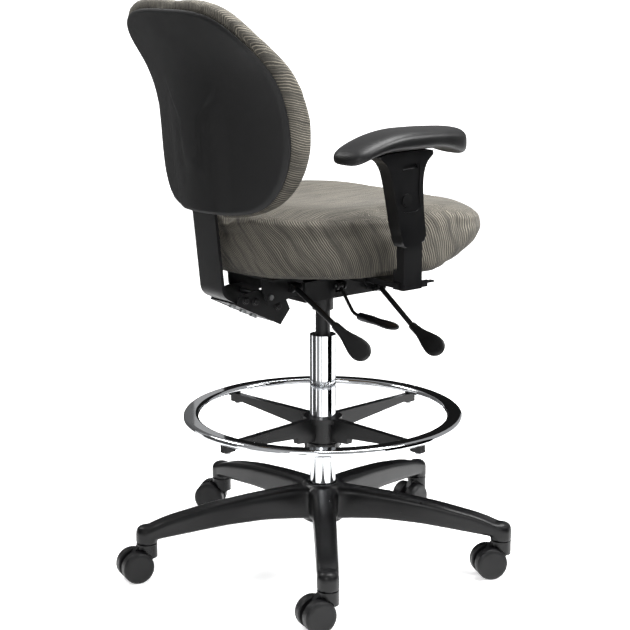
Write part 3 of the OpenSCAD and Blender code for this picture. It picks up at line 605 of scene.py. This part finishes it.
def arm_sleeve(side, sign):
    """A tall plate, narrow below and flaring up into the pad, with a panel sunk for the button."""
    node = f"{side}_arm_sleeve"
    low, high = box_mm(node)
    button_low, button_high = box_mm(f"{side}_arm_button")
    button_y, button_z = (button_low[1] + button_high[1]) / 2, (button_low[2] + button_high[2]) / 2
    arm_y = button_y - BUTTON_BACK
    rear, front, top, foot = arm_y + SLEEVE_HALF, arm_y - SLEEVE_HALF, high[2], low[2]
    corners = [(front, foot + 8), (arm_y, foot + 4), (rear, foot), (rear + 7, foot + 22),
               (rear + 13, foot + 42), (rear + 23, top - 76), (rear + 29, top - 52), (rear + 35, top - 33),
               (rear + 44, top - 19), (rear + 54, top - 11), (rear + 56, top - 4), (rear + 30, top - 1),
               (arm_y, top), (front - 8, top - 1), (front - 17, top - 3), (front - 15, top - 10),
               (front - 2, top - 22), (front + 5, top - 40), (front + 7, top - 62), (front + 5, top - 100),
               (front + 2, foot + 40)]
    outline = []
    curve = catmull(corners, 6)
    for k, point in enumerate(curve):
        # The lower corners stay crisp, where the sleeve ends square on the post
        outline.append(corners[k // 6] if k // 6 in (0, 2) and k % 6 == 0 else point)
    middle = (low[0] + high[0]) / 2
    half = (high[0] - low[0]) / 2
    mesh = rounded_plate(outline, middle - half, middle + half, 3.0)
    sleeve = settle(f"{side}_sleeve", mesh, NYLON, f"{side}_arm_height", [node])
    outer = middle + sign * half
    panel = [(front + 14, button_z - 16), (arm_y + 10, button_z - 22), (rear + 12, button_z - 16),
             (rear + 16, button_z + 14), (rear + 20, top - 34), (rear + 14, top - 22), (arm_y, top - 22),
             (front + 16, top - 24), (front + 17, button_z + 14)]
    trigger = [(front + 20, top - 30), (rear + 4, top - 32), (rear + 2, top - 25), (front + 22, top - 23)]
    for sunk, depth, edge_mm in ((catmull(panel, 5), 1.6, 0.8), (trigger, 6, 1.0)):
        cutter_mesh = rounded_plate(sunk, outer - sign * depth, outer + sign * 10, edge_mm, 2)
        outward(cutter_mesh)
        cutter = bpy.data.objects.new("cutter", cutter_mesh)
        scene.collection.objects.link(cutter)
        cut = sleeve.modifiers.new("cut", "BOOLEAN")
        cut.object = cutter
        cut.solver = "EXACT"
        carved = applied(sleeve)
        sleeve.modifiers.remove(cut)
        sleeve.data = carved
        bpy.data.objects.remove(cutter)
    sleeve.data.shade_smooth()
    sleeve.data.set_sharp_from_angle(angle=math.radians(32))
    even = sleeve.modifiers.new("even", "WEIGHTED_NORMAL")
    even.keep_sharp = True


for arm_side, arm_sign in (("right", -1), ("left", 1)):
    arm_pad(arm_side)
    arm_sleeve(arm_side, arm_sign)


# ---- Levers ----

WIRE_R = 3.2
HEIGHT_PIVOT = (-50, 548)


def turned(name, profile, start, way, finish, body, slot, sides=24):
    """A turned part: a profile of distances along and radii, from a point in a direction."""
    start, way = Vector(start), Vector(way).normalized()
    across = way.orthogonal().normalized()
    up = way.cross(across)
    spokes = [across * math.cos(a) + up * math.sin(a) for a in np.arange(sides) * 2 * math.pi / sides]
    rings = [[list(start + way * along + spoke * radius) for spoke in spokes] for along, radius in profile]
    piece = make_piece(name, *skinned(rings), finish, body, slot)
    piece.data.set_sharp_from_angle(angle=math.radians(30))
    return piece


def lever_grip(name, node, rod_from, start, end, tip_half_w, blade_turn, body):
    """A spoon-shaped grip: a round collar on the rod that flattens into a broad rounded blade."""
    rod_from, start, end = (Vector(p) for p in (rod_from, start, end))
    first = (start - rod_from).normalized()
    then = (end - start).normalized()
    length = (end - start).length
    # How far along the grip, half width and half thickness
    stations = [(-0.02, 6.5, 6.5), (0.0, 7.8, 7.8), (0.10, 8.2, 8.0), (0.20, 8.6, 6.8), (0.32, 10.2, 5.6),
                (0.46, 0.72 * tip_half_w, 5.0), (0.60, 0.90 * tip_half_w, 4.6), (0.74, tip_half_w, 4.4),
                (0.85, 0.93 * tip_half_w, 4.2), (0.93, 0.72 * tip_half_w, 3.8),
                (0.98, 0.42 * tip_half_w, 3.0), (1.0, 0.14 * tip_half_w, 1.4)]
    rings = []
    for u, half_w, half_t in stations:
        bend = smooth_step(0.0, 0.3, u)
        way = first.lerp(then, bend).normalized()
        centre = start + length * u * first.lerp(then, smooth_step(0.0, 0.2, u))
        side = way.cross(Vector((0, 0, 1))).normalized()
        side = Matrix.Rotation(math.radians(blade_turn), 3, way) @ side
        normal = way.cross(side)
        shape = oval(half_w, half_t, 2.0 if u < 0.15 else 2.6, 28)
        rings.append([list(centre + side * a + normal * b) for a, b in shape])
    points, faces = skinned(rings)
    piece = make_piece(name, points, faces, GRIP, body, "black_plastic", [node])
    fine = piece.modifiers.new("fine", "SUBSURF")
    fine.levels = fine.render_levels = 2


lever_grip("lean_grip", "lean_paddle", (-60, 115, 560), (-171, 115, 509), (-259, 115, 466), 20, 48,
           "lean_control")
lever_grip("tilt_grip", "tilt_paddle", (-60, -90, 536), (-151, -90, 476), (-232, -90, 438), 20, 48,
           "tilt_control")
lever_grip("height_grip", "height_paddle", (-88, 0, 503), (-106, 0, 498.6), (-211, 0, 494), 12, 15,
           "height_control")


def height_wire():
    """The seat height lever's bent wire, on the knuckle and cross pin that it swings on."""
    low, high = box_mm("height_lever")
    bends = [(6, 546.5), (-22, 547.2), (-46, 547.8), (-52, 545), (-58, 538), (-74, 518), (-86, 504.5),
             (-92, 501), (-99, 499.4), (-112, 498.4), (-124, 498)]

    def on_wire(place):
        """X and Z of the wire, that many bends along it."""
        return [float(np.interp(place, range(len(bends)), [b[axis] for b in bends])) for axis in (0, 1)]

    rings = []
    for place in np.arange((len(bends) - 1) * 5 + 1) / 5:
        (x, z), ahead, behind = on_wire(place), on_wire(place + 0.5), on_wire(place - 0.5)
        slope = math.atan2(ahead[1] - behind[1], ahead[0] - behind[0])
        rings.append([[x - math.sin(slope) * b, a, z + math.cos(slope) * b]
                      for a, b in oval(WIRE_R, WIRE_R, 2, 20)])
    make_piece("height_wire", *skinned(rings), COAT, "height_control", "black_steel", ["height_lever"])
    x, z = HEIGHT_PIVOT
    turned("height_knuckle", [(0, 4.9), (0.6, 5.5), (10.4, 5.5), (11, 4.9)], (x, -5.5, z), (0, 1, 0), COAT,
           "height_control", "black_steel")
    pin_l = high[1] - low[1]
    turned("height_cross_pin", [(0, 1.9), (0.5, 2.4), (pin_l - 0.5, 2.4), (pin_l, 1.9)], (x, low[1], z),
           (0, 1, 0), ZINC, "height_control", "steel")


# ---- Fastenings on the mechanism ----


def hex_bolt(name, start, way, across_flats, body):
    """A bolt head with its washer and a dished, chamfered top."""
    r = across_flats / math.sqrt(3)
    turned(name + "_washer", [(0, r * 1.35), (1.1, r * 1.35), (1.3, r * 1.28)], start, way, COAT, body,
           "black_steel")
    turned(name, [(1.0, r), (4.4, r), (5.2, r * 0.84), (5.2, r * 0.55), (4.9, r * 0.5)], start, way, COAT,
           body, "black_steel", 6)


def bracket_fastenings():
    """Bolts on the ears of the back bracket, three to a side."""
    ear_low, ear_high = box_mm("back_bracket")
    pin_low, pin_high = box_mm("back_pivot_pin")
    pivot_y, pivot_z = (pin_low[1] + pin_high[1]) / 2, (pin_low[2] + pin_high[2]) / 2
    for name, side, x in (("right", -1, ear_low[0]), ("left", 1, ear_high[0])):
        for k, (y, z) in enumerate(((26, -6), (48, -1), (-26, -21))):
            hex_bolt(f"{name}_ear_bolt_{k}", (x, pivot_y + y, pivot_z + z), (side, 0, 0), 9.5, "back_support")


bracket_fastenings()
height_wire()


# ---- Base ----

LEGS = 5
LEG_REACH = 351  # from the column to a caster's stem
FIRST_LEG = 141.5
LEG_ROOT = 30
HUB_BORE = 26.2


def moulded_base():
    """The base: legs with rounded tops that run together at the hub and drop into round end bosses."""
    low, high = box_mm("base_star")
    floor_z, top_z = low[2], high[2]
    work_points, work_faces = [], []

    def take(points, faces, turn):
        """Adds a skin to the base, turned about the column."""
        start = len(work_points)
        c, s = math.cos(turn), math.sin(turn)
        work_points.extend([[c * x - s * y, s * x + c * y, z] for x, y, z in points])
        work_faces.extend([[start + i for i in f] for f in faces])

    reach = LEG_REACH
    under = [(10, floor_z + 14), (45, floor_z + 16), (120, floor_z + 22), (200, floor_z + 20),
             (reach - 28, floor_z + 9), (reach + 6, floor_z + 6)]
    over = [(10, top_z - 4), (73, top_z - 6), (145, top_z - 12), (226, top_z - 22),
            (reach - 41, floor_z + 46), (reach - 12, floor_z + 36), (reach + 6, floor_z + 28)]
    leg = []
    for r in np.linspace(LEG_ROOT, reach + 6, 41):
        b, t = eased(under, r, 8), eased(over, r, 8)
        # A leg narrows outwards, and spreads where it runs into the hub
        half_w = 23 - 3.5 * r / reach + 8 * math.exp(-((r - 25) / 22) ** 2)
        leg.append([[r, y, (b + t) / 2 + z] for y, z in oval(half_w, (t - b) / 2, 4.5, 36)])
    boss = [[[x + reach, y, z] for x, y, z in ring_round(r, floor_z + rise, 36)]
            for r, rise in ((20, 0), (20, 20), (19.3, 25), (17, 30), (13, 33.5), (7, 35.5), (1, 36))]
    for k in range(LEGS):
        turn = math.radians(FIRST_LEG + 360 / LEGS * k)
        take(*skinned(leg), turn)
        take(*skinned(boss), turn)
    # The hub is a ring round the column, and its profile comes back to where it starts
    hub = [(HUB_BORE, floor_z + 9), (38, floor_z + 9), (40, floor_z + 11), (41, top_z - 16), (39, top_z - 5),
           (36, top_z - 1), (32, top_z), (HUB_BORE, top_z), (HUB_BORE, floor_z + 9)]
    take(*skinned([ring_round(r, z, 72) for r, z in hub], closed_ends=False), 0)
    mesh = bpy.data.meshes.new("base")
    mesh.from_pydata([[c * MM for c in p] for p in work_points], [], work_faces)
    settle("moulded_base", remeshed(mesh, 2.5, 7), NYLON, "base", ["base_star"])


moulded_base()


# ---- Finishes and rounded edges on the carried-over CAD pieces ----

BEVELLED = {"back_bar": 1.2, "back_bracket": 0.7, "mech_base": 1.5, "top_plate": 0.8, "plate_flanges": 0.8,
            "arm_guides": 1.0, "seat_slides": 0.6, "ring_spider": 1.2, "ring_lock_collar": 1.0}
for k in range(1, LEGS + 1):
    BEVELLED[f"caster_{k}_hood"] = 1.6
for arm_side in ("right", "left"):
    BEVELLED[f"{arm_side}_arm_bracket"] = 2.0
    BEVELLED[f"{arm_side}_arm_catch"] = 0.6
    BEVELLED[f"{arm_side}_arm_button"] = 0.8

ZINC_PLATED = ("ring_screws", "bar_bolts", "seat_screws", "piston_rod", "valve_pin", "retaining_clip",
               "thrust_bearing", "tilt_pivot_pin", "back_pivot_pin", "seat_slides")


def finish_of(node):
    """The finish of a CAD node that shows as it is."""
    if node in ("outer_column", "foot_ring", "column_bush"):
        return CHROME
    if node.endswith("_hood") or node in ("ring_spider", "ring_lock_collar", "back_carriage"):
        return NYLON
    if node.endswith("_wheels"):
        return WHEEL
    if node.endswith("_button"):
        return GRIP
    if node.endswith("_board"):
        return PLY
    if node.endswith("_pins") or node in ZINC_PLATED:
        return ZINC
    return COAT


for node_name, node_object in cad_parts.items():
    for slot_of in node_object.material_slots:
        slot_of.material = finish_of(node_name)
    if node_name in BEVELLED:
        rounding = node_object.modifiers.new("rounded", "BEVEL")
        rounding.width = BEVELLED[node_name] * MM
        rounding.segments = 3
        rounding.limit_method = "ANGLE"
        rounding.angle_limit = math.radians(35)


# ---- Room, light and camera ----

LAMPS_AIM_AT = (0, 0, 0.6)
CAMERA_AZIMUTH = math.radians(230)
CAMERA_REACH = 3.064
CAMERA_HEIGHT = 1.164
CAMERA_DIP = 12.54
CAMERA_LENS = 94.63
CAMERA_SHIFT = -0.0124


def stage_sheet(name, corners, colour, glow, **shown):
    """A flat sheet of the studio in one colour, with how it shows to each kind of ray."""
    mesh = bpy.data.meshes.new(name)
    mesh.from_pydata(corners, [], [(0, 1, 2, 3)])
    finish, _, surface = new_finish(name, colour, 1.0, Specular_IOR_Level=0.0)
    surface.inputs["Emission Color"].default_value = linear(colour)
    surface.inputs["Emission Strength"].default_value = glow
    mesh.materials.append(finish)
    sheet = bpy.data.objects.new(name, mesh)
    scene.collection.objects.link(sheet)
    for kind, on in shown.items():
        setattr(sheet, "visible_" + kind, on)


def upright(azimuth, distance, half_w, height):
    """The corners of an upright sheet that faces the chair."""
    a = math.radians(azimuth)
    centre = Vector((distance * math.sin(a), -distance * math.cos(a), 0))
    across = Vector((math.cos(a), math.sin(a), 0)) * half_w
    up = Vector((0, 0, height))
    return [centre - across, centre + across, centre + across + up, centre - across + up]


def studio():
    """A plain white floor and backdrop, soft boxes, and dark sheets for the chrome to mirror."""
    size = 40
    corners = [(-size, -size, 0), (size, -size, 0), (size, size, 0), (-size, size, 0)]
    stage_sheet("floor", corners, "#fafafa", 0.55, diffuse=False)
    for k in range(8):
        stage_sheet(f"backdrop_{k}", upright(50 + 45 * k, 4.8, 2.05, 9), "#ffffff", 1.0, diffuse=False,
                    glossy=False, shadow=False)

    world = bpy.data.worlds.new("room")
    scene.world = world
    world.use_nodes = True
    world.node_tree.nodes["Background"].inputs["Color"].default_value = (1, 1, 1, 1)
    world.node_tree.nodes["Background"].inputs["Strength"].default_value = 0.42

    # Name, place, size in metres, watts
    boxes = [("key", (-2.2, -1.4, 2.6), 1.3, 105), ("rim", (2.2, 1.2, 2.8), 1.2, 50),
             ("top", (-0.3, -0.5, 3.2), 1.6, 110), ("fill", (-1.8, 2.6, 1.8), 1.2, 22)]
    for name, place, width, watts in boxes:
        light = bpy.data.lights.new(name, "AREA")
        light.size = width
        light.energy = watts
        lamp = bpy.data.objects.new(name, light)
        scene.collection.objects.link(lamp)
        lamp.location = place
        lamp.rotation_euler = (Vector(LAMPS_AIM_AT) - Vector(place)).to_track_quat("-Z", "Y").to_euler()

    # Dark and grey sheets, seen only in reflections: azimuth, distance, half width, height, colour
    sheets = [(283, 0.80, 0.15, 1.0, "#060606"), (304, 0.80, 0.15, 1.0, "#060606"),
              (216, 0.95, 0.05, 0.30, "#101010"), (189, 0.90, 0.20, 1.0, "#a8a8a8"),
              (150, 0.85, 0.28, 1.0, "#505050"), (95, 0.85, 0.40, 1.0, "#5c5c5c"),
              (40, 0.85, 0.40, 1.0, "#1c1c1c")]
    for k, (azimuth, distance, half_w, height, colour) in enumerate(sheets):
        stage_sheet(f"sheet_{k}", upright(azimuth, distance, half_w, height), colour, 0.0, camera=False,
                    diffuse=False, shadow=False)


def camera():
    """A long lens behind the sitter's right shoulder, a little above the arms."""
    view = bpy.data.cameras.new("camera")
    view.sensor_width = 36
    view.lens = CAMERA_LENS
    view.shift_x = CAMERA_SHIFT
    holder = bpy.data.objects.new("camera", view)
    scene.collection.objects.link(holder)
    holder.location = (CAMERA_REACH * math.sin(CAMERA_AZIMUTH), -CAMERA_REACH * math.cos(CAMERA_AZIMUTH),
                       CAMERA_HEIGHT)
    holder.rotation_euler = (math.radians(90 - CAMERA_DIP), 0, CAMERA_AZIMUTH)
    scene.camera = holder


studio()
camera()
scene.view_settings.view_transform = "Standard"
